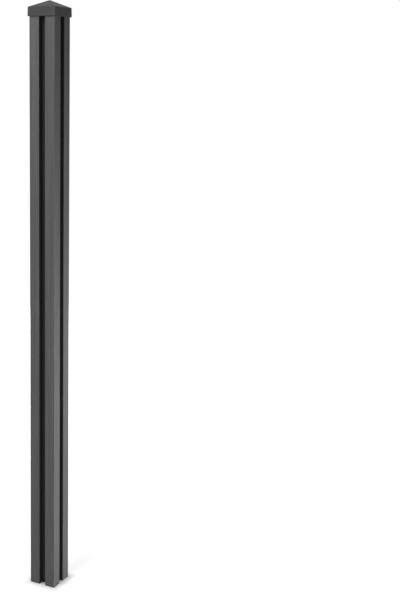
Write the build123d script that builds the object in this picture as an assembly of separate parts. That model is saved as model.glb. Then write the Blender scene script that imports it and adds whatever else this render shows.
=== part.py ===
from build123d import *
import math
import os

# Composite fence post: a hollow extruded profile with a board groove along each side,
# and a moulded pyramid cap pushed over its top end.
# Units are millimetres. The origin is the middle of the foot, and +Z runs up the post.

# Profile, outline
post_width = 90.0
post_length = 1850.0
post_corner_radius = 1.2
groove_width = 21.5
groove_depth = 17.0
groove_lip_radius = 0.6
groove_floor_radius = 0.8

# Profile, walls round the chambers
outer_wall = 4.5
groove_side_wall = 5.4
hollow_wall = 6.0
web_thickness = 6.0
chamber_radius = 0.8
hollow_radius = 1.0

# Guide ribs in the central hollow, a pair on each wall
guide_rib_height = 1.5
guide_rib_foot = 2.2
guide_rib_tip = 0.5
guide_rib_spacing = 21.0

# Cap, outside; the draft is in degrees
cap_skirt_height = 28.0
cap_pyramid_height = 22.0
cap_draft = 1.0
cap_eave_radius = 1.6
cap_edge_radius = 1.2
cap_mouth_radius = 1.1

# Cap, inside
cap_side_wall = 3.3
cap_roof_wall = 3.0
cap_clearance = 0.4
cap_engagement = 25.0
seat_ledge = 3.0
grip_rib_width = 2.0
grip_rib_length = 20.0

# Derived places on the profile, measured from the post's axis
post_half = post_width / 2
groove_half = groove_width / 2
groove_floor = post_half - groove_depth
hollow_half = groove_floor - hollow_wall

# Derived places on the cap
draft_slope = math.tan(math.radians(cap_draft))
cap_mouth_z = post_length - cap_engagement
cap_eave_z = cap_mouth_z + cap_skirt_height
cap_apex_z = cap_eave_z + cap_pyramid_height
pocket_seat_half = post_half + cap_clearance
pocket_mouth_half = pocket_seat_half + cap_engagement * draft_slope
cap_mouth_half = pocket_mouth_half + cap_side_wall
cap_eave_half = cap_mouth_half - cap_skirt_height * draft_slope
roof_slope = cap_pyramid_height / cap_eave_half


def on_each_side(shape):
    """The shape and its three copies turned by quarter turns about the post's axis."""
    return [Rot(0, 0, quarter * 90) * shape for quarter in range(4)]


def groove_outline() -> Sketch:
    """One board groove, open past the post's +Y side, with an eased floor."""
    opening = Pos(0, post_half) * Rectangle(groove_width, 2 * groove_depth)
    floor_corners = opening.vertices().sort_by(Axis.Y)[:2]
    return fillet(floor_corners, groove_floor_radius)


def chamber_outline() -> Sketch:
    """The chamber beside the +Y groove: a corner block's upper half, cut off along the diagonal web."""
    side = groove_half + groove_side_wall
    ceiling = post_half - outer_wall
    web_offset = web_thickness / math.sqrt(2)
    chamber = Polygon(
        (side, groove_floor),
        (groove_floor - web_offset, groove_floor),
        (ceiling - web_offset, ceiling),
        (side, ceiling),
        align=None,
    )
    return fillet(chamber.vertices(), chamber_radius)


def guide_rib_outline() -> Sketch:
    """A pointed rib on the hollow's +Y wall, with its foot just inside that wall."""
    foot = guide_rib_foot / 2
    tip = guide_rib_tip / 2
    tip_y = hollow_half - guide_rib_height
    root_y = hollow_half + hollow_wall / 2
    return Polygon(
        (-foot, root_y), (-foot, hollow_half), (-tip, tip_y),
        (tip, tip_y), (foot, hollow_half), (foot, root_y),
        align=None,
    )


def hollow_outline() -> Sketch:
    """The square central hollow, less its guide ribs."""
    hollow = RectangleRounded(2 * hollow_half, 2 * hollow_half, hollow_radius)
    for side in (-1, 1):
        rib = Pos(side * guide_rib_spacing / 2, 0) * guide_rib_outline()
        hollow -= on_each_side(rib)
    return hollow


def profile_section() -> Sketch:
    """The extruded profile's cross-section: grooved outline, eight corner chambers and the hollow."""
    section = RectangleRounded(post_width, post_width, post_corner_radius)
    section -= on_each_side(groove_outline())
    lips = [
        corner
        for corner in section.vertices()
        if math.isclose(min(abs(corner.X), abs(corner.Y)), groove_half, abs_tol=1e-6)
        and math.isclose(max(abs(corner.X), abs(corner.Y)), post_half, abs_tol=1e-6)
    ]
    section = fillet(lips, groove_lip_radius)
    chamber = chamber_outline()
    section -= on_each_side(chamber)
    section -= on_each_side(mirror(chamber, about=Plane.YZ))
    return section - hollow_outline()


def post_profile() -> Part:
    """The post: one extrusion, sawn square at both ends."""
    return extrude(profile_section(), amount=post_length)


def crossed_gables(outline: Sketch) -> Part:
    """What is common to a gable drawn in the XZ plane and its quarter turn: a block under a pyramid."""
    gable = extrude(Plane.XZ * outline, amount=2 * cap_mouth_half, both=True)
    return gable & (Rot(0, 0, 90) * gable)


def cap_outside() -> Part:
    """The cap as a full block: drafted skirt, pyramid roof, and eased eaves, hips and corners."""
    outline = Polygon(
        (-cap_mouth_half, cap_mouth_z),
        (cap_mouth_half, cap_mouth_z),
        (cap_eave_half, cap_eave_z),
        (0, cap_apex_z),
        (-cap_eave_half, cap_eave_z),
        align=None,
    )
    eaves = [corner for corner in outline.vertices() if math.isclose(corner.Y, cap_eave_z)]
    block = crossed_gables(fillet(eaves, cap_eave_radius))
    corners_and_hips = [
        edge
        for edge in block.edges()
        if math.isclose(abs(edge.center().X), abs(edge.center().Y), abs_tol=1e-3)
    ]
    block = fillet(corners_and_hips, cap_edge_radius)
    mouth_rim = block.faces().sort_by(Axis.Z)[0].outer_wire().edges()
    return fillet(mouth_rim, cap_mouth_radius)


def cap_pocket() -> Part:
    """The drafted pocket that goes over the post's end, up to the seat."""
    mouth = RectangleRounded(2 * pocket_mouth_half, 2 * pocket_mouth_half, post_corner_radius)
    return Pos(0, 0, cap_mouth_z) * extrude(mouth, amount=cap_engagement, taper=cap_draft)


def cap_cavity() -> Part:
    """The space over the post's end, with its ceiling parallel to the roof."""
    half = post_half - seat_ledge
    roof_drop = cap_roof_wall * math.hypot(1, roof_slope)
    peak_z = cap_apex_z - roof_drop
    outline = Polygon(
        (-half, post_length),
        (half, post_length),
        (half, peak_z - half * roof_slope),
        (0, peak_z),
        (-half, peak_z - half * roof_slope),
        align=None,
    )
    return crossed_gables(outline)


def grip_rib() -> Part:
    """A rib inside the +Y wall that bears on the post's side and runs down from the seat."""
    root_y = pocket_mouth_half + cap_side_wall / 2
    rib = Box(
        grip_rib_width,
        root_y - post_half,
        grip_rib_length,
        align=(Align.CENTER, Align.MIN, Align.MAX),
    )
    return Pos(0, post_half, post_length) * rib


def post_cap() -> Part:
    """The cap: a shell with a seat for the post's end and a pair of grip ribs on each wall."""
    cap = cap_outside() - cap_pocket() - cap_cavity()
    block_middle = (groove_half + post_half) / 2
    for side in (-1, 1):
        rib = Pos(side * block_middle, 0, 0) * grip_rib()
        cap += on_each_side(rib)
    return cap


os.makedirs("parts", exist_ok=True)
export_step(post_profile(), "parts/post_profile.step")
export_step(post_cap(), "parts/post_cap.step")
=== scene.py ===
import logging
import math
from collections.abc import Sequence
from dataclasses import dataclass, field
from enum import IntEnum

import bpy
import numpy as np
from mathutils import Matrix, Vector
from mathutils.geometry import tessellate_polygon


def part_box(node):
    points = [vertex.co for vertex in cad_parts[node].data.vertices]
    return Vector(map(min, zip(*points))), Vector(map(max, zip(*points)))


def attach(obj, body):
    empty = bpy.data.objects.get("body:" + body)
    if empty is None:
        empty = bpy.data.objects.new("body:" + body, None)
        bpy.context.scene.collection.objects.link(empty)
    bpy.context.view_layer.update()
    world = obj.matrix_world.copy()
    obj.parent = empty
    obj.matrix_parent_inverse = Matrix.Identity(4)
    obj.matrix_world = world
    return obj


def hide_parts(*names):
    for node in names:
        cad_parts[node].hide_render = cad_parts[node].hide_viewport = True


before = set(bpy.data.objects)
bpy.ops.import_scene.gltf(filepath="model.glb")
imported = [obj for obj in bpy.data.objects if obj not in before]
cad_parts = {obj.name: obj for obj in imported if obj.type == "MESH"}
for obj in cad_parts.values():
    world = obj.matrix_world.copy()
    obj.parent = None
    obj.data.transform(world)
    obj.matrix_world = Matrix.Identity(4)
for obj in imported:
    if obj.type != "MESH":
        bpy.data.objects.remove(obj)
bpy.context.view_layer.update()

# A composite fence post: a brushed, extruded profile with a board groove along each side,
# and a satin moulded pyramid cap over its top end. All lengths are in metres.

MM = 0.001
QUARTER_TURNS = 4
WHITE = (1.0, 1.0, 1.0, 1.0)

# Blender's noise mostly keeps to this range, and its wave turns by so many radians a unit.
NOISE_RANGE = (0.3, 0.7)
WAVE_RATE = 20.0

Socket = bpy.types.NodeSocket
Pair = tuple[float, float]
Triple = tuple[float, float, float]

log = logging.getLogger("fence_post")


class Skin(IntEnum):
    """The finishes of the extruded profile, in the order of its material slots."""

    BRUSHED = 0
    DRAWN_PAINTED_SHADE = 1
    SAWN = 2


def unit(vectors: np.ndarray) -> np.ndarray:
    """Each row divided by its own length."""
    return vectors / np.linalg.norm(vectors, axis=-1, keepdims=True)


def smoothstep(x: np.ndarray) -> np.ndarray:
    """Three x squared less two x cubed, with x held between 0 and 1."""
    x = np.clip(x, 0.0, 1.0)
    return x * x * (3.0 - 2.0 * x)


def quarter_turn(quarter: int) -> np.ndarray:
    """The matrix that turns rows of points left by quarter turns: each takes (x, y) to (-y, x)."""
    return np.linalg.matrix_power(np.array([[0.0, 1.0], [-1.0, 0.0]]), quarter)


def arc(centre: Pair, radius: float, start: float, turn: float, steps: int) -> np.ndarray:
    """Points along an arc: the centre plus the radius times the cosine and sine of even angles.

    Args:
        centre: The arc's centre.
        radius: Its radius.
        start: The first point's angle, in degrees from +X.
        turn: How far it turns, in degrees, positive to the left.
        steps: How many steps the turn is divided into.

    Returns:
        One row for each point, the last one left out for the next stretch to start with.
    """
    angles = np.radians(start + turn * np.arange(steps) / steps)
    return np.array(centre) + radius * np.column_stack([np.cos(angles), np.sin(angles)])


def straight(start: Pair, end: Pair, steps: int) -> np.ndarray:
    """Points along a straight stretch: the start plus even shares of the way, without the end."""
    share = np.arange(steps)[:, None] / steps
    return np.array(start) + share * (np.array(end) - np.array(start))


def rounded_polygon(corners: Sequence[Pair], radius: float, steps: int) -> np.ndarray:
    """A convex polygon, walked to the left, with an arc in place of each corner.

    The arc's centre lies on the line that halves the corner, at the radius over the sine of half
    the corner's angle, and it turns from one side's normal to the next side's.

    Args:
        corners: The polygon's corners.
        radius: The radius of every arc.
        steps: How many steps each arc has.

    Returns:
        The points of the closed line.
    """
    here = np.array(corners, float)
    back = unit(np.roll(here, 1, axis=0) - here)
    ahead = unit(np.roll(here, -1, axis=0) - here)
    half = np.arccos(np.clip((back * ahead).sum(axis=1), -1.0, 1.0)) / 2.0
    centres = here + unit(back + ahead) * (radius / np.sin(half))[:, None]
    start = np.arctan2(-back[:, 1], -back[:, 0]) - math.pi / 2.0
    turn = math.pi - 2.0 * half
    angles = start[:, None] + turn[:, None] * np.linspace(0.0, 1.0, steps + 1)[None, :]
    ring = np.stack([np.cos(angles), np.sin(angles)], axis=-1)
    return (centres[:, None, :] + radius * ring).reshape(-1, 2)


@dataclass(frozen=True)
class Loop:
    """A closed line in the profile's section, walked with the material on its left.

    Attributes:
        points: One row for each point.
        skin: For each point, the finish of the wall from it to the next.
        brushing: For each point, how deep brushing may cut there, as a share of the whole depth.
    """

    points: np.ndarray
    skin: np.ndarray
    brushing: np.ndarray

    @classmethod
    def plain(cls, points: np.ndarray, skin: Skin) -> "Loop":
        """A loop of one finish that no brush reaches."""
        count = len(points)
        return cls(points, np.full(count, int(skin)), np.zeros(count))

    def turned(self, quarter: int) -> "Loop":
        """The same line, turned left by quarter turns about the post's axis."""
        return Loop(self.points @ quarter_turn(quarter), self.skin, self.brushing)

    def all_round(self) -> "Loop":
        """The line and its quarter turns, end to end in one ring."""
        return joined([self.turned(quarter) for quarter in range(QUARTER_TURNS)])

    def normals(self) -> np.ndarray:
        """The way out of the material at each point: the right-hand side of the line's direction."""
        along = unit(np.roll(self.points, -1, axis=0) - np.roll(self.points, 1, axis=0))
        return np.column_stack([along[:, 1], -along[:, 0]])

    def distances(self) -> np.ndarray:
        """How far along the line each point lies."""
        steps = np.linalg.norm(np.diff(self.points, axis=0), axis=1)
        return np.concatenate([[0.0], np.cumsum(steps)])


def joined(parts: Sequence[Loop]) -> Loop:
    """One line made of several stretches, end to end."""
    return Loop(
        np.concatenate([part.points for part in parts]),
        np.concatenate([part.skin for part in parts]),
        np.concatenate([part.brushing for part in parts]),
    )


@dataclass(frozen=True)
class ProfileSection:
    """The extruded section: its sizes, and the closed lines that bound its material.

    Attributes:
        half: Half the post's width.
        lip_radius: The ease where a groove's wall meets the post's face.
        floor_radius: The fillet at the foot of a groove's wall.
        web: How thick the diagonal web in each corner block is.
        rib_height: How far a guide rib stands up from the hollow's wall.
        rib_foot: A guide rib's width at the wall.
        rib_tip: Its width at the tip.
        rib_spacing: The distance between the two guide ribs of a wall.
        brush_pitch: The distance between points across a brushed face.
        brush_fade: How far in from its edge a face is brushed to the whole depth.
        arc_steps: How many steps each rounded corner has.
        wall_steps: How many steps a groove's wall has.
        floor_steps: How many steps its floor has.
    """

    half: float
    corner_radius: float = 1.2 * MM
    groove_half: float = 10.75 * MM
    groove_depth: float = 17.0 * MM
    lip_radius: float = 0.6 * MM
    floor_radius: float = 0.8 * MM
    outer_wall: float = 4.5 * MM
    groove_side_wall: float = 5.4 * MM
    hollow_wall: float = 6.0 * MM
    web: float = 6.0 * MM
    chamber_radius: float = 0.8 * MM
    hollow_radius: float = 1.0 * MM
    rib_height: float = 1.5 * MM
    rib_foot: float = 2.2 * MM
    rib_tip: float = 0.5 * MM
    rib_spacing: float = 21.0 * MM
    brush_pitch: float = 0.5 * MM
    brush_fade: float = 1.5 * MM
    arc_steps: int = 5
    wall_steps: int = 4
    floor_steps: int = 6

    @property
    def floor(self) -> float:
        """A groove floor's distance from the post's axis."""
        return self.half - self.groove_depth

    @property
    def hollow_half(self) -> float:
        """Half the width of the square hollow."""
        return self.floor - self.hollow_wall

    def land(self, start: float, end: float) -> Loop:
        """A brushed strip of the +Y face, with its brushing faded at both ends.

        Args:
            start: The X that the strip starts from.
            end: The X that it runs to.

        Returns:
            The strip's stretch of the outline.
        """
        steps = round(abs(end - start) / self.brush_pitch)
        points = straight((start, self.half), (end, self.half), steps)
        from_end = np.minimum(abs(points[:, 0] - start), abs(points[:, 0] - end))
        return Loop(points, np.full(steps, int(Skin.BRUSHED)), smoothstep(from_end / self.brush_fade))

    def side(self) -> Loop:
        """The outline's +Y side, walked towards -X.

        Returns:
            The corner, a land, the groove and the other land.
        """
        half, steps = self.half, self.arc_steps
        corner = half - self.corner_radius
        lip, groove = self.groove_half + self.lip_radius, self.groove_half
        lip_y, inset = half - self.lip_radius, self.groove_half - self.floor_radius
        wall_foot = self.floor + self.floor_radius
        groove_walls = np.concatenate([
            straight((groove, lip_y), (groove, wall_foot), self.wall_steps),
            arc((inset, wall_foot), self.floor_radius, 0.0, -90.0, steps),
            straight((inset, self.floor), (-inset, self.floor), self.floor_steps),
            arc((-inset, wall_foot), self.floor_radius, -90.0, -90.0, steps),
            straight((-groove, wall_foot), (-groove, lip_y), self.wall_steps),
        ])
        return joined([
            Loop.plain(arc((corner, corner), self.corner_radius, 0.0, 90.0, steps), Skin.BRUSHED),
            self.land(corner, lip),
            Loop.plain(arc((lip, lip_y), self.lip_radius, 90.0, 90.0, steps), Skin.BRUSHED),
            Loop.plain(groove_walls, Skin.DRAWN_PAINTED_SHADE),
            Loop.plain(arc((-lip, lip_y), self.lip_radius, 0.0, 90.0, steps), Skin.BRUSHED),
            self.land(-lip, -corner),
        ])

    def outline(self) -> Loop:
        """The whole outline: its +Y side and that side's quarter turns."""
        return self.side().all_round()

    def hollow(self) -> Loop:
        """The square hollow with a pair of pointed guide ribs on each wall.

        Returns:
            Its closed line, walked to the right.
        """
        half, inset = self.hollow_half, self.hollow_half - self.hollow_radius
        rib = np.array([
            (self.rib_foot / 2.0, half), (self.rib_tip / 2.0, half - self.rib_height),
            (-self.rib_tip / 2.0, half - self.rib_height), (-self.rib_foot / 2.0, half),
        ])
        reach = np.array([self.rib_spacing / 2.0, 0.0])
        corner = arc((inset, inset), self.hollow_radius, 0.0, 90.0, self.arc_steps)
        points = np.concatenate([corner, [(inset, half)], rib + reach, rib - reach])
        ring = Loop.plain(points, Skin.DRAWN_PAINTED_SHADE).all_round()
        return Loop.plain(ring.points[::-1], Skin.DRAWN_PAINTED_SHADE)

    def chambers(self) -> list[Loop]:
        """The two chambers of each corner block, either side of its diagonal web.

        Returns:
            Their closed lines, walked to the right.
        """
        side, ceiling = self.groove_half + self.groove_side_wall, self.half - self.outer_wall
        across = self.web / math.sqrt(2.0)
        corners = [
            (side, self.floor), (self.floor - across, self.floor),
            (ceiling - across, ceiling), (side, ceiling),
        ]
        right = rounded_polygon(corners, self.chamber_radius, self.arc_steps)
        left = right[::-1] * np.array([-1.0, 1.0])
        return [
            Loop.plain(points[::-1], Skin.DRAWN_PAINTED_SHADE).turned(quarter)
            for quarter in range(QUARTER_TURNS)
            for points in (right, left)
        ]


@dataclass(frozen=True)
class BrushRelief:
    """The shallow furrows that a wire brush leaves along the post.

    The depth is a sum of cosines of the distance round the section, each with its own pitch and
    phase, and each phase drifts slowly with height, so that a furrow wanders and fades. A
    smoothstep brings the sum between nothing and the whole depth.

    Attributes:
        depth: The whole depth.
        narrowest: The shortest pitch round the section.
        widest: The longest pitch.
        shortest_drift: The shortest height over which a phase drifts there and back.
        longest_drift: The longest such height.
        drift: How far a phase drifts to either side, in radians.
        waves: How many cosines the sum has.
        seed: What the random draws start from.
    """

    depth: float = 0.16 * MM
    narrowest: float = 1.6 * MM
    widest: float = 6.0 * MM
    shortest_drift: float = 220.0 * MM
    longest_drift: float = 900.0 * MM
    drift: float = 1.3
    waves: int = 14
    seed: int = 7

    def cut(self, distances: np.ndarray, heights: np.ndarray) -> np.ndarray:
        """How deep the surface is cut, for each height (rows) and each place round it (columns).

        Args:
            distances: Places round the section.
            heights: Heights up the post.

        Returns:
            Depths between 0 and the whole depth.
        """
        draw = np.random.default_rng(self.seed)
        pitch = draw.uniform(self.narrowest, self.widest, self.waves)[:, None, None]
        phase, drift_phase = draw.uniform(0.0, math.tau, (2, self.waves, 1, 1))
        drift_length = draw.uniform(self.shortest_drift, self.longest_drift, self.waves)[:, None, None]
        round_angle = math.tau * distances[None, None, :] / pitch
        drifting = self.drift * np.cos(math.tau * heights[None, :, None] / drift_length + drift_phase)
        total = np.cos(round_angle + phase + drifting).sum(axis=0) / math.sqrt(2.0 * self.waves)
        return self.depth * smoothstep(0.5 + 0.5 * total)


@dataclass
class Shell:
    """Grids and fills gathered into one mesh, with a material slot for each face.

    Attributes:
        points: The batches of points so far.
        faces: The faces so far, each a list of point numbers.
        slots: The material slots of each batch of faces.
        count: How many points there are.
    """

    points: list[np.ndarray] = field(default_factory=list)
    faces: list[list[int]] = field(default_factory=list)
    slots: list[np.ndarray] = field(default_factory=list)
    count: int = 0

    def add_points(self, points: np.ndarray) -> np.ndarray:
        """Adds points.

        Args:
            points: An array whose last axis holds X, Y and Z.

        Returns:
            Their numbers in the mesh, in the shape of the other axes.
        """
        shape = points.shape[:-1]
        numbers = self.count + np.arange(math.prod(shape)).reshape(shape)
        self.points.append(points.reshape(-1, 3))
        self.count += numbers.size
        return numbers

    def add_faces(self, faces: np.ndarray, slots: np.ndarray) -> None:
        """Adds faces, one row of point numbers each, and the slot of each."""
        self.faces.extend(faces.tolist())
        self.slots.append(np.asarray(slots))

    def add_tube(self, grid: np.ndarray, column_slots: np.ndarray) -> np.ndarray:
        """Adds a grid whose columns close round into a ring, one row of points for each station.

        The four corners of each face are a point, the next one round, and those two one row on.

        Args:
            grid: Rows by columns by 3.
            column_slots: The material slot of each column.

        Returns:
            The points' numbers, rows by columns.
        """
        here = self.add_points(grid)
        there = np.roll(here, -1, axis=1)
        quads = np.stack([here[:-1], there[:-1], there[1:], here[1:]], axis=-1).reshape(-1, 4)
        self.add_faces(quads, np.tile(column_slots, len(here) - 1))
        return here

    def add_pole(self, point: np.ndarray, ring: np.ndarray, slot: int) -> None:
        """Closes a ring with triangles from each of its steps to a single point.

        Args:
            point: The pole.
            ring: The ring's point numbers, walked to the left as seen from outside.
            slot: The triangles' material slot.
        """
        pole = np.full(len(ring), self.add_points(point[None, :])[0])
        triangles = np.column_stack([ring, np.roll(ring, -1), pole])
        self.add_faces(triangles, np.full(len(ring), slot))

    def build(self, name: str, sharp_angle: float) -> bpy.types.Object:
        """Makes the mesh object, smooth but for its sharp edges.

        Args:
            name: The object's name.
            sharp_angle: The turn past which an edge is sharp, in degrees.

        Returns:
            The object, at the origin and in the scene.
        """
        mesh = bpy.data.meshes.new(name)
        mesh.from_pydata(np.concatenate(self.points).tolist(), [], self.faces)
        mesh.polygons.foreach_set("material_index", np.concatenate(self.slots).astype(np.int32))
        mesh.polygons.foreach_set("use_smooth", np.ones(len(mesh.polygons), bool))
        mesh.set_sharp_from_angle(angle=math.radians(sharp_angle))
        mesh.validate()
        mesh.update()
        piece = bpy.data.objects.new(name, mesh)
        bpy.context.scene.collection.objects.link(piece)
        return piece


@dataclass(frozen=True)
class Grain:
    """A noise pattern on a finish.

    Attributes:
        lengths: About how long its grains are along X, Y and Z.
        detail: How many finer layers it has.
        sway: How far it darkens and lightens the tone, as a share to either side.
        depth: How deep it goes in the bump.
        turn: How it is turned about X, Y and Z, in radians.
    """

    lengths: Triple
    detail: float
    sway: float = 0.0
    depth: float = 0.0
    turn: Triple = (0.0, 0.0, 0.0)


class NodeSheet:
    """The node tree of a material or a sky, with short ways to lay nodes in it and wire them."""

    def __init__(self, owner: bpy.types.Material | bpy.types.World) -> None:
        """Empties the owner's node tree.

        Args:
            owner: The material or sky that the nodes are for.
        """
        self.owner = owner
        self.owner.use_nodes = True
        self.tree = self.owner.node_tree
        self.tree.nodes.clear()

    def add(self, kind: str, sockets: dict | None = None, **settings: str) -> bpy.types.Node:
        """Lays one node.

        Args:
            kind: The node's type, without its ShaderNode prefix.
            sockets: For each input, by name or number, a value or an output to wire to it.
            settings: The node's own settings.

        Returns:
            The node.
        """
        node = self.tree.nodes.new("ShaderNode" + kind)
        for name, value in settings.items():
            setattr(node, name, value)
        for name, value in (sockets or {}).items():
            if isinstance(value, Socket):
                self.tree.links.new(value, node.inputs[name])
            else:
                node.inputs[name].default_value = value
        return node

    def math(self, operation: str, first: Socket, second: Socket | float) -> Socket:
        """What a Math node makes of two values."""
        return self.add("Math", {0: first, 1: second}, operation=operation).outputs[0]

    def product(self, first: Socket, *others: Socket) -> Socket:
        """Several values multiplied together.

        Args:
            first: One value.
            others: The rest.

        Returns:
            The product.
        """
        for other in others:
            first = self.math("MULTIPLY", first, other)
        return first

    def mapped(self, value: Socket, span: Pair, onto: Pair, **settings: str) -> Socket:
        """A value carried from one span onto another, and held at its ends.

        Args:
            value: The value.
            span: The span's two ends.
            onto: What the two ends become.
            settings: The node's own settings.

        Returns:
            The new value.
        """
        ends = {"From Min": span[0], "From Max": span[1], "To Min": onto[0], "To Max": onto[1]}
        return self.add("MapRange", {"Value": value, **ends}, **settings).outputs["Result"]

    def noise(self, grain: Grain) -> Socket:
        """A grain's noise, on object coordinates divided by the grain's lengths.

        Args:
            grain: The pattern.

        Returns:
            The noise.
        """
        coordinates = self.add("TexCoord").outputs["Object"]
        scale = tuple(1.0 / length for length in grain.lengths)
        mapping = self.add("Mapping", {"Vector": coordinates, "Rotation": grain.turn, "Scale": scale})
        noise = self.add("TexNoise", {"Vector": mapping.outputs[0], "Scale": 1.0, "Detail": grain.detail})
        return noise.outputs["Fac"]

    def swayed(self, noise: Socket, sway: float) -> Socket:
        """Noise turned into a share that sways about 1."""
        return self.mapped(noise, NOISE_RANGE, (1.0 - sway, 1.0 + sway))

    def tinted(self, grey: float, share: Socket) -> Socket:
        """A neutral grey times a share that varies over the surface."""
        level = self.math("MULTIPLY", share, grey)
        return self.add("CombineColor", {"Red": level, "Green": level, "Blue": level}).outputs[0]

    def bumped(self, height: Socket, depth: float, below: Socket | None = None) -> Socket:
        """A normal bent by a height.

        Args:
            height: The height.
            depth: How deep it goes.
            below: Another bump that this one lies over.

        Returns:
            The bent normal.
        """
        sockets = {"Height": height, "Strength": 1.0, "Distance": depth}
        if below is not None:
            sockets["Normal"] = below
        return self.add("Bump", sockets).outputs["Normal"]

    def seen(self) -> Socket:
        """1 for a ray from the camera, straight or by way of a glossy or clear surface.

        Returns:
            1 or 0.
        """
        rays = self.add("LightPath").outputs
        direct = self.math("MAXIMUM", rays["Is Camera Ray"], rays["Is Glossy Ray"])
        return self.math("MAXIMUM", direct, rays["Is Transmission Ray"])

    def finish(self, sockets: dict) -> bpy.types.Material:
        """Ends a material's tree in a Principled surface.

        Args:
            sockets: The surface's inputs.

        Returns:
            The material.
        """
        surface = self.add("BsdfPrincipled", sockets)
        self.add("OutputMaterial", {"Surface": surface.outputs[0]})
        return self.owner


@dataclass(frozen=True)
class BrushedComposite:
    """Wire-brushed wood-plastic composite: charcoal, matt, with streaks and pale fibres along the post.

    Attributes:
        roughness: The least and greatest roughness, which follows the fine streaks.
        broad: Broad streaks.
        fine: Fine streaks.
        fibre: Sparse fibres.
        cloud: Slow changes of tone.
        fleck_noise: Where in the fibres' noise a pale fleck starts, and where it is full.
        fleck_tone: The shares of the tone at those two places.
    """

    grey: float = 0.096
    specular: float = 0.12
    roughness: Pair = (0.62, 0.82)
    broad: Grain = Grain((9 * MM, 9 * MM, 700 * MM), 2.0, sway=0.12)
    fine: Grain = Grain((1.6 * MM, 1.6 * MM, 120 * MM), 3.0, sway=0.14, depth=0.12 * MM)
    fibre: Grain = Grain((0.7 * MM, 0.7 * MM, 9 * MM), 1.0, depth=0.05 * MM)
    cloud: Grain = Grain((60 * MM, 60 * MM, 260 * MM), 2.0, sway=0.03)
    fleck_noise: Pair = (0.60, 0.72)
    fleck_tone: Pair = (1.0, 1.18)

    def material(self) -> bpy.types.Material:
        """Streaks, flecks and clouds in the tone, and a bump that runs along the post.

        Returns:
            The material.
        """
        sheet = NodeSheet(bpy.data.materials.new("brushed_composite"))
        grains = (self.broad, self.fine, self.fibre, self.cloud)
        broad, fine, fibre, cloud = (sheet.noise(grain) for grain in grains)
        tone = sheet.product(
            sheet.swayed(broad, self.broad.sway),
            sheet.swayed(fine, self.fine.sway),
            sheet.mapped(fibre, self.fleck_noise, self.fleck_tone),
            sheet.swayed(cloud, self.cloud.sway),
        )
        return sheet.finish({
            "Base Color": sheet.tinted(self.grey, tone),
            "Roughness": sheet.mapped(fine, NOISE_RANGE, self.roughness),
            "Specular IOR Level": self.specular,
            "Normal": sheet.bumped(fibre, self.fibre.depth, sheet.bumped(fine, self.fine.depth)),
        })


@dataclass(frozen=True)
class DrawnSkinInPaintedShade:
    """The composite's unbrushed skin: smoother, with faint die lines, darkened by painted shade.

    Attributes:
        roughness: The least and greatest roughness, which follows the clouds.
        lines: Long die lines.
        cloud: Soft clouds.
    """

    # Far darker than the brushed faces: this tone is painted shade for the deep grooves and hollows.
    grey: float = 0.027
    specular: float = 0.05
    roughness: Pair = (0.52, 0.66)
    lines: Grain = Grain((1.1 * MM, 1.1 * MM, 900 * MM), 2.0, sway=0.06, depth=0.04 * MM)
    cloud: Grain = Grain((14 * MM, 14 * MM, 90 * MM), 3.0, sway=0.10)

    def material(self) -> bpy.types.Material:
        """Die lines in the tone and bump, and clouds in the tone and roughness.

        Returns:
            The material.
        """
        sheet = NodeSheet(bpy.data.materials.new("drawn_composite_painted_shade"))
        lines, cloud = sheet.noise(self.lines), sheet.noise(self.cloud)
        tone = sheet.product(sheet.swayed(lines, self.lines.sway), sheet.swayed(cloud, self.cloud.sway))
        return sheet.finish({
            "Base Color": sheet.tinted(self.grey, tone),
            "Roughness": sheet.mapped(cloud, NOISE_RANGE, self.roughness),
            "Specular IOR Level": self.specular,
            "Normal": sheet.bumped(lines, self.lines.depth),
        })


@dataclass(frozen=True)
class SawnComposite:
    """The sawn end: paler than the skin, with torn fibres and the saw's faint curved marks.

    Attributes:
        roughness: The least and greatest roughness, which follows the crumbs.
        fibre: Fine torn fibres.
        crumb: Coarser crumbs.
        mark_offset: How far the marks' rings are moved, so that their centre lies off the post.
        mark_pitch: The distance from one mark to the next.
        mark_depth: How deep the marks go.
        mark_waver: How far the marks waver from true rings.
        mark_detail: How many finer layers the waver has.
    """

    grey: float = 0.150
    specular: float = 0.15
    roughness: Pair = (0.75, 0.92)
    fibre: Grain = Grain((0.5 * MM, 0.5 * MM, 0.5 * MM), 2.0, sway=0.20, depth=0.10 * MM)
    crumb: Grain = Grain((2.5 * MM, 2.5 * MM, 2.5 * MM), 3.0, sway=0.12)
    mark_offset: Triple = (150 * MM, -90 * MM, 0.0)
    mark_pitch: float = 2.4 * MM
    mark_depth: float = 0.04 * MM
    mark_waver: float = 1.5
    mark_detail: float = 2.0

    def material(self) -> bpy.types.Material:
        """Rings about a far centre for the saw's marks, and fine noise for the fibres.

        Returns:
            The material.
        """
        sheet = NodeSheet(bpy.data.materials.new("sawn_composite"))
        coordinates = sheet.add("TexCoord").outputs["Object"]
        mapping = sheet.add("Mapping", {"Vector": coordinates, "Location": self.mark_offset})
        marks = sheet.add("TexWave", {
            "Vector": mapping.outputs[0], "Scale": math.tau / (WAVE_RATE * self.mark_pitch),
            "Distortion": self.mark_waver, "Detail": self.mark_detail,
        }, wave_type="RINGS", rings_direction="Z").outputs["Fac"]
        fibre, crumb = sheet.noise(self.fibre), sheet.noise(self.crumb)
        tone = sheet.product(sheet.swayed(fibre, self.fibre.sway), sheet.swayed(crumb, self.crumb.sway))
        return sheet.finish({
            "Base Color": sheet.tinted(self.grey, tone),
            "Roughness": sheet.mapped(crumb, NOISE_RANGE, self.roughness),
            "Specular IOR Level": self.specular,
            "Normal": sheet.bumped(fibre, self.fibre.depth, sheet.bumped(marks, self.mark_depth)),
        })


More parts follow.
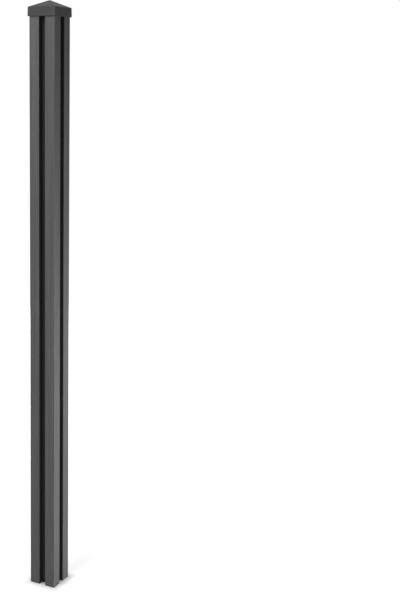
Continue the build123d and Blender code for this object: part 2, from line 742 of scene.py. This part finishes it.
@dataclass(frozen=True)
class MouldedSatin:
    """The cap's satin plastic: charcoal, with a fine spark-eroded grain and faint marks from the mould.

    Attributes:
        roughness: The least and greatest roughness, which follows the flow.
        skin: The mould's own fine, even grain.
        flow: Slow clouds from the plastic's flow.
        smear: Level smears.
        smear_roughness: How far the smears change the roughness, as a share to either side.
    """

    grey: float = 0.063
    specular: float = 0.05
    roughness: Pair = (0.42, 0.54)
    skin: Grain = Grain((0.45 * MM, 0.45 * MM, 0.45 * MM), 2.0, sway=0.03, depth=0.012 * MM)
    flow: Grain = Grain((30 * MM, 22 * MM, 18 * MM), 2.0, sway=0.05, depth=0.5 * MM, turn=(0.3, 0.5, 0.2))
    smear: Grain = Grain((14 * MM, 14 * MM, 3.5 * MM), 3.0, sway=0.06)
    smear_roughness: float = 0.14

    def material(self) -> bpy.types.Material:
        """A fine grain over a slow swell in the bump, and clouds and smears in the tone and roughness.

        Returns:
            The material.
        """
        sheet = NodeSheet(bpy.data.materials.new("moulded_satin"))
        skin, flow, smear = (sheet.noise(grain) for grain in (self.skin, self.flow, self.smear))
        tone = sheet.product(
            sheet.swayed(flow, self.flow.sway),
            sheet.swayed(smear, self.smear.sway),
            sheet.swayed(skin, self.skin.sway),
        )
        roughness = sheet.mapped(flow, NOISE_RANGE, self.roughness)
        return sheet.finish({
            "Base Color": sheet.tinted(self.grey, tone),
            "Roughness": sheet.product(roughness, sheet.swayed(smear, self.smear_roughness)),
            "Specular IOR Level": self.specular,
            "Normal": sheet.bumped(skin, self.skin.depth, sheet.bumped(flow, self.flow.depth)),
        })


@dataclass
class PostProfile:
    """The extruded post: its section carried straight up, with brushed faces and two sawn ends.

    Attributes:
        arris: How far the edges of the sawn ends are eased.
        station_pitch: The distance between rows of points up the brushed outline.
        sharp_angle: The turn past which an edge is sharp, in degrees.
        relief: What the wire brush leaves.
    """

    node: str = "post_profile"
    slot: str = "composite"
    arris: float = 0.3 * MM
    station_pitch: float = 24.0 * MM
    sharp_angle: float = 40.0
    relief: BrushRelief = field(default_factory=BrushRelief)

    def __post_init__(self) -> None:
        """Takes the post's width and ends from the frame."""
        low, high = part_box(self.node)
        self.foot, self.top = low.z, high.z
        self.section = ProfileSection(half=(high.x - low.x) / 2.0)

    def heights(self, count: int) -> np.ndarray:
        """Stations up the post: both ends, and even ones from one eased arris to the other."""
        inner = np.linspace(self.foot + self.arris, self.top - self.arris, count)
        return np.concatenate([[self.foot], inner, [self.top]])

    def wall(self, loop: Loop, heights: np.ndarray) -> np.ndarray:
        """A loop carried up the post.

        At each height every point moves into the material, against its normal, by the brushed
        relief there, and at the two sawn ends by the arris as well.

        Args:
            loop: The closed line in the section.
            heights: The stations up the post.

        Returns:
            A grid of points, stations by places round the loop by 3.
        """
        inward = loop.brushing[None, :] * self.relief.cut(loop.distances(), heights)
        inward[[0, -1]] += self.arris
        flat = loop.points[None, :, :] - loop.normals()[None, :, :] * inward[:, :, None]
        up = np.broadcast_to(heights[:, None, None], (*inward.shape, 1))
        return np.concatenate([flat, up], axis=2)

    def add_end(self, shell: Shell, ends: list[tuple[np.ndarray, np.ndarray]], upward: bool) -> None:
        """Fills a sawn end between the outline and the openings, with triangles that face outwards.

        Args:
            shell: The mesh that the end belongs to.
            ends: The end ring of every wall: its points, and their numbers.
            upward: True for the top end.
        """
        flat = np.concatenate([ring for ring, _ in ends])[:, :2]
        numbers = np.concatenate([ring_numbers for _, ring_numbers in ends])
        corners = np.array(tessellate_polygon([ring[:, :2].tolist() for ring, _ in ends]))
        a, b, c = (flat[corners[:, k]] for k in range(3))
        twice_area = (b[:, 0] - a[:, 0]) * (c[:, 1] - a[:, 1]) - (b[:, 1] - a[:, 1]) * (c[:, 0] - a[:, 0])
        wrong = (twice_area > 0.0) != upward
        corners[wrong] = corners[wrong][:, ::-1]
        shell.add_faces(numbers[corners], np.full(len(corners), int(Skin.SAWN)))

    def build(self) -> bpy.types.Object:
        """Builds the walls and both sawn ends as one closed mesh.

        Returns:
            The mesh object.
        """
        shell = Shell()
        brushed = self.heights(round((self.top - self.foot) / self.station_pitch))
        plain = self.heights(2)
        walls = [(self.section.outline(), brushed)]
        walls += [(loop, plain) for loop in [self.section.hollow(), *self.section.chambers()]]
        feet, tops = [], []
        for loop, heights in walls:
            grid = self.wall(loop, heights)
            numbers = shell.add_tube(grid, loop.skin)
            feet.append((grid[0], numbers[0]))
            tops.append((grid[-1], numbers[-1]))
        self.add_end(shell, feet, upward=False)
        self.add_end(shell, tops, upward=True)
        return shell.build("brushed_post", self.sharp_angle)

    def dress(self, piece: bpy.types.Object) -> None:
        """Gives the post its finishes, in the order of Skin, and puts it in place of its node.

        Args:
            piece: The mesh object.
        """
        for finish in (BrushedComposite(), DrawnSkinInPaintedShade(), SawnComposite()):
            piece.data.materials.append(finish.material())
        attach(piece, "root")
        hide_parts(self.node)


@dataclass
class PostCap:
    """The moulded pyramid cap: one line from apex to mouth and back up inside, carried round a square.

    The surface is a ring times a line. At each place on the line the ring is a square of half
    width r with corners of radius c: (r - c) times a point of the unit square, plus c times the
    way out there.

    Attributes:
        draft: How far the skirt leans, in radians.
        edge_radius: The ease of the skirt's corners, of the pocket's and, square to them, of the hips.
        mouth_ease: The chamfer at the pocket's mouth.
        seat_ledge: How far the seat reaches in over the post's end.
        rib_centre: How far each grip rib is from the middle of its wall.
        brink: Half the width of the step at a grip rib's side or foot.
        hip_blend: How far under the eave the corners' radius starts to change to the hips'.
        peak_share: The largest corner radius of a ring, as a share of its half width.
        sink: How deep the roof's troughs sink.
        sink_place: Where a trough lies, as a share of the way out to the eave.
        sink_spread: Its half width, as a share of the same way.
        sink_power: The power of the share along a side by which a trough fades to the hips.
        sharp_angle: The turn past which an edge is sharp, in degrees.
        roof_crowding: The power that draws the roof's rings in towards the peak.
        roof_end: The least distance of the roof's last ring from the eave's arc.
    """

    node: str = "post_cap"
    slot: str = "cap_plastic"
    post_half: float = 45.0 * MM
    post_top: float = 1.850
    skirt_height: float = 28.0 * MM
    pyramid_height: float = 22.0 * MM
    draft: float = math.radians(1.0)
    eave_radius: float = 1.6 * MM
    mouth_radius: float = 1.1 * MM
    edge_radius: float = 1.2 * MM
    mouth_ease: float = 0.3 * MM
    side_wall: float = 3.3 * MM
    roof_wall: float = 3.0 * MM
    clearance: float = 0.4 * MM
    seat_ledge: float = 3.0 * MM
    rib_centre: float = 27.875 * MM
    rib_width: float = 2.0 * MM
    rib_length: float = 20.0 * MM
    brink: float = 0.02 * MM
    hip_blend: float = 1.0 * MM
    peak_share: float = 0.9
    sink: float = 0.10 * MM
    sink_place: float = 0.86
    sink_spread: float = 0.05
    sink_power: float = 4.0
    sharp_angle: float = 50.0
    corner_steps: int = 6
    side_steps: int = 36
    roof_steps: int = 36
    roof_crowding: float = 1.2
    roof_end: float = 0.3 * MM
    arc_steps: int = 7
    skirt_steps: int = 12
    ceiling_steps: int = 7

    def __post_init__(self) -> None:
        """Takes the mouth's width and height, and the peak, from the frame."""
        low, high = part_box(self.node)
        lean = 1.0 / math.cos(self.draft) - 1.0 + math.tan(self.draft)
        self.mouth_half = (high.x - low.x) / 2.0 + self.mouth_radius * lean
        self.mouth_z, self.peak_z = low.z, high.z
        self.eave_z = self.mouth_z + self.skirt_height
        self.eave_half = self.mouth_half - self.skirt_height * math.tan(self.draft)
        self.slope = self.pyramid_height / self.eave_half
        self.sharp_peak_z = self.eave_z + self.pyramid_height
        self.ceiling_z = self.sharp_peak_z - self.roof_wall * math.hypot(1.0, self.slope)

    @property
    def pocket_flat(self) -> float:
        """Half the width of the pocket's flat walls, where the ribs' places are measured."""
        return self.post_half + self.clearance - self.edge_radius

    @property
    def hip_radius(self) -> float:
        """The corner radius, in a level cut, of hips eased by the edge radius.

        The easing starts at the radius times the tangent of half the angle between two roof
        faces' normals, square to the hip. Over the sine of the angle between the hip and a level
        line on the face, that is how far from the corner the level cut starts to bend.

        Returns:
            The radius.
        """
        normals = math.acos(1.0 / (1.0 + self.slope**2))
        level_to_hip = math.acos(1.0 / math.sqrt(2.0 + self.slope**2))
        return self.edge_radius * math.tan(normals / 2.0) / math.sin(level_to_hip)

    def square(self) -> tuple[np.ndarray, np.ndarray]:
        """The ring: points of the unit square, and the way out at each, walked to the left.

        Each side has even points and a close pair at either side of every grip rib. On an arc
        the point stays at the corner while the way out turns.

        Returns:
            The square's points and the ways out.
        """
        share = np.linspace(1.0, -1.0, self.side_steps + 1)
        rib = (self.rib_centre + self.rib_width / 2.0 * np.array([-1.0, 1.0])) / self.pocket_flat
        brink = self.brink / self.pocket_flat
        breaks = np.concatenate([rib - brink, rib + brink])
        share = np.sort(np.concatenate([share, breaks, -breaks]))[::-1]
        side = np.column_stack([share, np.ones_like(share)])
        side_out = np.tile([0.0, 1.0], (len(share), 1))
        angles = np.radians(90.0 * np.arange(1, self.corner_steps) / self.corner_steps)
        corner = np.ones((len(angles), 2))
        corner_out = np.column_stack([np.cos(angles), np.sin(angles)])
        quarter = np.stack([np.concatenate([corner, side]), np.concatenate([corner_out, side_out])])
        points, ways = np.concatenate([quarter @ quarter_turn(k) for k in range(QUARTER_TURNS)], axis=1)
        return points, ways

    def roof_height(self, half: np.ndarray) -> np.ndarray:
        """The roof over a ring of this half width.

        A hyperbola that meets the peak level and nears the roof's plane slope away from it:
        the sharp peak less the slope times the root of the half width squared plus a small
        length squared.

        Args:
            half: The rings' half widths.

        Returns:
            Their heights.
        """
        small = (self.sharp_peak_z - self.peak_z) / self.slope
        return self.sharp_peak_z - self.slope * np.sqrt(half**2 + small**2)

    def outer_line(self) -> np.ndarray:
        """The outside: over the roof and the eave, and down the skirt to the mouth.

        The eave's arc touches roof and skirt at its radius times the tangent of half its turn
        from where their planes meet.

        Returns:
            Half widths and heights, from near the apex down.
        """
        lean, pitch = math.degrees(self.draft), math.degrees(math.atan(self.slope))
        turn = 90.0 - lean - pitch
        tangent = self.eave_radius * math.tan(math.radians(turn / 2.0))
        eave_start = self.eave_half - tangent * math.cos(math.radians(pitch))
        half = self.eave_half * np.linspace(0.0, 1.0, self.roof_steps)[1:-1] ** self.roof_crowding
        half = half[half < eave_start - self.roof_end]
        roof = np.column_stack([half, self.roof_height(half)])
        up_skirt = np.array([-math.sin(self.draft), math.cos(self.draft)])
        out_of_skirt = np.array([math.cos(self.draft), math.sin(self.draft)])
        eave_end = np.array([self.eave_half, self.eave_z]) - up_skirt * tangent
        eave_centre = tuple(eave_end - out_of_skirt * self.eave_radius)
        eave = arc(eave_centre, self.eave_radius, 90.0 - pitch, -turn, self.arc_steps)
        inset = self.mouth_radius * (1.0 / math.cos(self.draft) + math.tan(self.draft))
        mouth_centre = (self.mouth_half - inset, self.mouth_z + self.mouth_radius)
        mouth = arc(mouth_centre, self.mouth_radius, lean, -(90.0 + lean), self.arc_steps)
        skirt = straight(tuple(eave_end), tuple(mouth[0]), self.skirt_steps)
        return np.concatenate([roof, eave, skirt, mouth, [(mouth_centre[0], self.mouth_z)]])

    def inner_line(self) -> np.ndarray:
        """The inside: up the pocket past the ribs' feet, in over the seat, and up the ceiling.

        Returns:
            Half widths and heights, from the mouth's inner edge up.
        """
        pocket_mouth = self.mouth_half - self.side_wall
        rib_foot = self.post_top - self.rib_length
        rib_foot_half = pocket_mouth - (rib_foot - self.mouth_z) * math.tan(self.draft)
        pocket_top = self.post_half + self.clearance
        ledge = self.post_half - self.seat_ledge
        pocket = np.array([
            (pocket_mouth + self.mouth_ease, self.mouth_z),
            (pocket_mouth, self.mouth_z + self.mouth_ease),
            (rib_foot_half, rib_foot - self.brink), (rib_foot_half, rib_foot + self.brink),
            (pocket_top, self.post_top - self.brink), (pocket_top, self.post_top),
            (ledge, self.post_top), (ledge, self.ceiling_z - ledge * self.slope),
        ])
        half = ledge * np.linspace(1.0, 0.0, self.ceiling_steps + 1)[1:-1]
        return np.concatenate([pocket, np.column_stack([half, self.ceiling_z - half * self.slope])])

    def corner_radii(self, half: np.ndarray, height: np.ndarray, outside: np.ndarray) -> np.ndarray:
        """The corner radius of each ring.

        It is the edge radius, and on the roof the hips', with a smoothstep of the height between
        them. Near the peak it is no more than the peak share of the half width.

        Args:
            half: The rings' half widths.
            height: Their heights.
            outside: Which of them lie on the outside.

        Returns:
            The radii.
        """
        up_roof = smoothstep((height - self.eave_z + self.hip_blend) / self.hip_blend) * outside
        radius = self.edge_radius + (self.hip_radius - self.edge_radius) * up_roof
        return np.minimum(radius, self.peak_share * half)

    def rib_reach(
        self, half: np.ndarray, height: np.ndarray, outside: np.ndarray, along: np.ndarray
    ) -> np.ndarray:
        """How far the pocket's wall stands in where a grip rib bears on the post's side.

        Args:
            half: The rings' half widths.
            height: Their heights.
            outside: Which of them lie on the outside.
            along: For each place round the ring, its share of the way from a side's middle.

        Returns:
            Distances, rings by places round them.
        """
        in_pocket = ~outside & (half > self.post_half) & (height > self.post_top - self.rib_length)
        on_rib = np.abs(along * self.pocket_flat - self.rib_centre) < self.rib_width / 2.0
        return np.where(in_pocket, half - self.post_half, 0.0)[:, None] * on_rib[None, :]

    def sunk(self, half: np.ndarray, outside: np.ndarray, along: np.ndarray) -> np.ndarray:
        """How far the roof sinks below its plane as the thick rim under it cools.

        A shallow trough along each side of the roof: a bell curve across it, times 1 less a
        power of the share along the side, which fades it out at the hips.

        Args:
            half: The rings' half widths.
            outside: Which of them lie on the outside.
            along: For each place round the ring, its share of the way from a side's middle.

        Returns:
            Depths, rings by places round them.
        """
        across = (half / self.eave_half - self.sink_place) / self.sink_spread
        trough = np.where(outside, np.exp(-(across**2)), 0.0)
        return self.sink * trough[:, None] * (1.0 - along**self.sink_power)[None, :]

    def grid(self) -> np.ndarray:
        """The whole surface but its two poles.

        Returns:
            A grid of points, places on the line by places round the ring by 3.
        """
        outer, inner = self.outer_line(), self.inner_line()
        half, height = np.concatenate([outer, inner]).T
        outside = np.arange(len(half)) < len(outer)
        square, out = self.square()
        along = np.abs(square).min(axis=1)
        radius = self.corner_radii(half, height, outside)
        flat = (half - radius)[:, None, None] * square + radius[:, None, None] * out
        flat -= self.rib_reach(half, height, outside, along)[:, :, None] * out
        up = height[:, None] - self.sunk(half, outside, along)
        return np.concatenate([flat, up[:, :, None]], axis=2)

    def build(self) -> bpy.types.Object:
        """Builds the cap as one closed mesh, with a pole at the apex and one under it.

        Returns:
            The mesh object.
        """
        shell = Shell()
        grid = self.grid()[::-1]
        numbers = shell.add_tube(grid, np.zeros(grid.shape[1], int))
        shell.add_pole(np.array([0.0, 0.0, self.ceiling_z]), numbers[0][::-1], slot=0)
        shell.add_pole(np.array([0.0, 0.0, self.peak_z]), numbers[-1], slot=0)
        return shell.build("satin_cap", self.sharp_angle)

    def dress(self, piece: bpy.types.Object) -> None:
        """Gives the cap its finish and puts it in place of its node.

        Args:
            piece: The mesh object.
        """
        piece.data.materials.append(MouldedSatin().material())
        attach(piece, "root")
        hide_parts(self.node)


@dataclass(frozen=True)
class StudioCamera:
    """The photograph's viewpoint: where the camera stands, which way it looks, and its lens.

    Angles are in degrees. The azimuth is measured from the -Y side towards +X, the heading from
    +Y towards -X, and the tilt is below 0 where the camera looks down. The shift, in shares of
    the frame's height, sets the post at the frame's left, as the photograph frames it.
    """

    azimuth: float = 31.746
    distance: float = 3.1533
    height: float = 1.6345
    heading: float = 28.270
    tilt: float = -9.172
    roll: float = 0.587
    focal_pixels: float = 1013.85
    frame_height_pixels: float = 597.0
    sensor: float = 36.0
    shift: Pair = (0.15, -0.09)

    def build(self) -> None:
        """Makes the camera and sets the scene to look through it."""
        data = bpy.data.cameras.new("studio_camera")
        data.sensor_width = self.sensor
        data.lens = self.focal_pixels * self.sensor / self.frame_height_pixels
        data.shift_x, data.shift_y = self.shift
        camera = bpy.data.objects.new("studio_camera", data)
        azimuth, heading, tilt, roll = (
            math.radians(angle) for angle in (self.azimuth, self.heading, self.tilt, self.roll)
        )
        forward = Vector((
            -math.sin(heading) * math.cos(tilt), math.cos(heading) * math.cos(tilt), math.sin(tilt),
        ))
        level = Vector((math.cos(heading), math.sin(heading), 0.0))
        upright = level.cross(forward)
        right = level * math.cos(roll) + upright * math.sin(roll)
        up = upright * math.cos(roll) - level * math.sin(roll)
        place = Vector((
            math.sin(azimuth) * self.distance, -math.cos(azimuth) * self.distance, self.height,
        ))
        turn = Matrix((right, up, -forward)).transposed().to_4x4()
        camera.matrix_world = Matrix.Translation(place) @ turn
        bpy.context.scene.collection.objects.link(camera)
        bpy.context.scene.camera = camera


@dataclass(frozen=True)
class Softbox:
    """A rectangular studio lamp that faces a point on the post; its spread is in degrees."""

    name: str
    place: Triple
    target: Triple
    width: float
    height: float
    power: float
    spread: float = 180.0

    def build(self) -> None:
        """Makes the lamp, turned to its target and unseen by the camera."""
        data = bpy.data.lights.new(self.name, "AREA")
        data.shape = "RECTANGLE"
        data.size, data.size_y, data.energy = self.width, self.height, self.power
        data.spread = math.radians(self.spread)
        lamp = bpy.data.objects.new(self.name, data)
        away = Vector(self.place) - Vector(self.target)
        turn = away.to_track_quat("Z", "Y").to_matrix().to_4x4()
        lamp.matrix_world = Matrix.Translation(self.place) @ turn
        lamp.visible_camera = False
        bpy.context.scene.collection.objects.link(lamp)


@dataclass(frozen=True)
class Studio:
    """A plain white room without walls: a pale floor, an even sky and soft lamps.

    Attributes:
        floor_half: Half the floor's width.
        floor_grey: The floor's tone.
        mottle: The slight unevenness of that tone.
        glow_steps_and_painted_shadow: The floor's glow in steps, each with where it starts and ends, as distances
            from the post's axis, and how much it adds.
        sky: The strength of the sky as a light.
        softboxes: The lamps.
    """

    floor_half: float = 40.0
    floor_grey: float = 0.80
    mottle: Grain = Grain((0.5, 0.5, 0.5), 1.0, sway=0.01)
    # The first two steps keep the glow low next to the post, which paints a contact shadow round the
    # foot; the last whitens the far floor.
    glow_steps_and_painted_shadow: tuple[Triple, ...] = (
        (34 * MM, 46 * MM, 0.22), (46 * MM, 76 * MM, 0.36), (0.4, 1.8, 0.42),
    )
    sky: float = 0.05
    softboxes: tuple[Softbox, ...] = (
        Softbox("front_far", (-0.5, -4.5, 2.4), (0.0, 0.0, 1.0), 2.5, 2.5, 53.0),
        Softbox("front_top", (-0.4, -1.4, 3.0), (0.0, 0.0, 1.6), 1.2, 1.0, 35.5),
        Softbox("front_right", (2.0, -1.6, 0.7), (0.0, 0.0, 0.6), 1.0, 1.0, 5.6, 90.0),
        Softbox("right_high", (1.8, -0.2, 1.25), (0.0, 0.0, 1.2), 0.7, 0.7, 4.1, 120.0),
        Softbox("right_floor", (2.4, 0.2, 0.4), (0.0, 0.0, 0.4), 1.0, 1.0, 5.9, 50.0),
        Softbox("back_left", (-2.8, 2.8, 1.5), (0.0, 0.0, 0.95), 2.0, 2.0, 90.0),
    )

    def floor_material(self) -> bpy.types.Material:
        """Pale and matt, with a glow for the camera: white far off, low near the post.

        The glow rises from nothing in the grooves' feet to its level round the post, and to white
        far off, by the larger of the distances from the post's axis along X and Y. Held low round
        the foot, it paints a contact shadow there, darkest in the grooves' feet.

        Returns:
            The material.
        """
        sheet = NodeSheet(bpy.data.materials.new("studio_floor"))
        tone = sheet.swayed(sheet.noise(self.mottle), self.mottle.sway)
        matt = sheet.add("BsdfDiffuse", {"Color": sheet.tinted(self.floor_grey, tone)})
        coordinates = sheet.add("TexCoord").outputs["Object"]
        place = sheet.add("VectorMath", {0: coordinates}, operation="ABSOLUTE")
        across = sheet.add("SeparateXYZ", {0: place.outputs[0]}).outputs
        away = sheet.math("MAXIMUM", across["X"], across["Y"])
        level = 0.0
        for start, end, rise in self.glow_steps_and_painted_shadow:
            step = sheet.mapped(away, (start, end), (0.0, rise), interpolation_type="SMOOTHSTEP")
            level = sheet.math("ADD", step, level)
        glow = sheet.add("Emission", {"Color": WHITE, "Strength": level})
        both = sheet.add("AddShader", {0: matt.outputs[0], 1: glow.outputs[0]})
        mixed = sheet.add("MixShader", {0: sheet.seen(), 1: matt.outputs[0], 2: both.outputs[0]})
        sheet.add("OutputMaterial", {"Surface": mixed.outputs[0]})
        return sheet.owner

    def build_floor(self) -> None:
        """A flat square under the post, as a grid of two parameters at height 0."""
        ends = np.array([-self.floor_half, self.floor_half])
        x, y = np.meshgrid(ends, ends)
        points = np.column_stack([x.ravel(), y.ravel(), np.zeros(x.size)])
        mesh = bpy.data.meshes.new("studio_floor")
        mesh.from_pydata(points.tolist(), [], [[0, 1, 3, 2]])
        mesh.materials.append(self.floor_material())
        floor = bpy.data.objects.new("studio_floor", mesh)
        bpy.context.scene.collection.objects.link(floor)

    def build_sky(self) -> None:
        """An even sky: white where it is seen, and dimmer as a light."""
        sheet = NodeSheet(bpy.data.worlds.new("studio_sky"))
        strength = sheet.mapped(sheet.seen(), (0.0, 1.0), (self.sky, 1.0))
        sky = sheet.add("Background", {"Color": WHITE, "Strength": strength})
        sheet.add("OutputWorld", {"Surface": sky.outputs[0]})
        bpy.context.scene.world = sheet.owner

    def build(self) -> None:
        """Lays the floor and hangs the sky and lamps."""
        self.build_floor()
        self.build_sky()
        for softbox in self.softboxes:
            softbox.build()


def main() -> None:
    """Builds the studio, then each piece of the post, and reports each one."""
    logging.basicConfig(level=logging.INFO, format="%(name)s: %(message)s")
    bpy.context.scene.view_settings.view_transform = "Standard"
    StudioCamera().build()
    Studio().build()
    for part in (PostProfile(), PostCap()):
        piece = part.build()
        part.dress(piece)
        log.info("%s stands for %s: %d faces", piece.name, part.node, len(piece.data.polygons))


if __name__ == "__main__":
    main()
